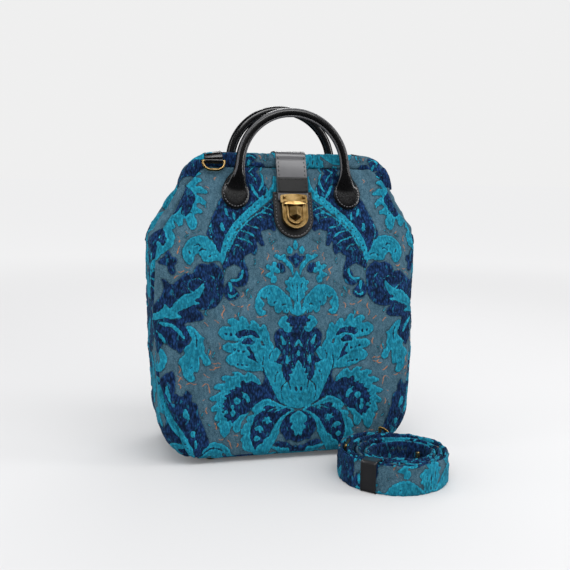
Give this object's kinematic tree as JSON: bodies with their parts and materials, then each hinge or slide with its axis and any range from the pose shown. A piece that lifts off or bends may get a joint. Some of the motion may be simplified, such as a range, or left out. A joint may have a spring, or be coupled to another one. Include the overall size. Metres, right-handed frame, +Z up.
{
  "type": "backpack",
  "caption": "Tapestry backpack with framed mouth, rolled handles and tuck lock, with its own detached strap coiled on edge beside it.",
  "frame": {"origin": "floor centre of the whole set: the bag and its coiled strap", "axes": "+Z up from the floor, +X to the right seen from the bag's front, +Y to the bag's back"},
  "size_m": [0.297, 0.2528, 0.3735],
  "materials": {
    "tapestry": "matt tapestry weave",
    "teal_pile": "raised chenille pile",
    "navy_pile": "raised chenille pile",
    "lining": "plain cloth",
    "board": "stiff board",
    "leather": "smooth, half gloss",
    "steel": "plain strip",
    "brass": "antique, satin"
  },
  "bodies": {
    "set": {"back_panel": "tapestry", "base_board": "board", "closure_end_patch": "leather", "closure_strap": "leather", "foot_back_left": "brass", "foot_back_right": "brass", "foot_front_left": "brass", "foot_front_right": "brass", "frame_bow_back": "steel", "frame_bow_front": "steel", "frame_rivet_left": "steel", "frame_rivet_right": "steel", "front_panel": "tapestry", "gusset": "tapestry", "handle_back": "leather", "handle_front": "leather", "hook_eye_inner": "brass", "hook_eye_outer": "brass", "lining": "lining", "lock_back_plate": "brass", "lock_body": "brass", "lock_patch": "leather", "lock_spring": "brass", "pile_navy_back": "navy_pile", "pile_navy_front": "navy_pile", "pile_teal_back": "teal_pile", "pile_teal_front": "teal_pile", "ring_tab_back_right": "leather", "ring_tab_front_left": "leather", "ring_tab_low_left": "leather", "ring_tab_low_right": "leather", "sleeve_back": "tapestry", "sleeve_front": "tapestry", "strap": "tapestry", "strap_keeper": "leather", "strap_slider": "brass", "tongue_plate": "brass", "tongue_rivet_left": "brass", "tongue_rivet_right": "brass"},
    "button": {"lock_button": "brass"},
    "ring_front_left": {"ring_front_left": "brass"},
    "ring_back_right": {"ring_back_right": "brass"},
    "ring_low_left": {"ring_low_left": "brass"},
    "ring_low_right": {"ring_low_right": "brass"},
    "hook_outer": {"hook_outer": "brass"},
    "gate_outer": {"hook_gate_outer": "brass"},
    "hook_inner": {"hook_inner": "brass"},
    "gate_inner": {"hook_gate_inner": "brass"}
  },
  "joints": [
    {"name": "button_press", "type": "slide", "parent": "set", "child": "button", "axis": [0, 0.9452, -0.3264], "range_m": [0, 0.0018], "stiffness_N_per_m": 400, "deforming": ["lock_spring"]},
    {"name": "ring_turn_front_left", "type": "hinge", "parent": "set", "child": "ring_front_left", "pos_m": [-0.0795, 0.04229, 0.3105], "axis": [-1, 0, 0], "range_deg": [0, 120]},
    {"name": "ring_turn_back_right", "type": "hinge", "parent": "set", "child": "ring_back_right", "pos_m": [0.0865, 0.07349, 0.3105], "axis": [1, 0, 0], "range_deg": [0, 120]},
    {"name": "ring_turn_low_left", "type": "hinge", "parent": "set", "child": "ring_low_left", "pos_m": [-0.0925, 0.12359, 0.066], "axis": [1, 0, 0], "range_deg": [0, 150]},
    {"name": "ring_turn_low_right", "type": "hinge", "parent": "set", "child": "ring_low_right", "pos_m": [0.0995, 0.12359, 0.066], "axis": [1, 0, 0], "range_deg": [0, 150]},
    {"name": "swivel_outer", "type": "hinge", "parent": "set", "child": "hook_outer", "pos_m": [0.09119, -0.01552, 0.0167], "axis": [0.9992, -0.0404, 0], "continuous": true},
    {"name": "gate_outer", "type": "hinge", "parent": "hook_outer", "child": "gate_outer", "pos_m": [0.11077, -0.01631, 0.0126], "axis": [-0.0404, -0.9992, 0], "range_deg": [0, 22], "stiffness_Nm_per_rad": 0.02, "springref_deg": -11.46},
    {"name": "swivel_inner", "type": "hinge", "parent": "set", "child": "hook_inner", "pos_m": [0.0987, -0.09949, 0.0167], "axis": [0.3828, 0.9238, 0], "continuous": true},
    {"name": "gate_inner", "type": "hinge", "parent": "hook_inner", "child": "gate_inner", "pos_m": [0.10621, -0.08139, 0.0126], "axis": [0.9238, -0.3828, 0], "range_deg": [0, 22], "stiffness_Nm_per_rad": 0.02, "springref_deg": -11.46}
  ]
}
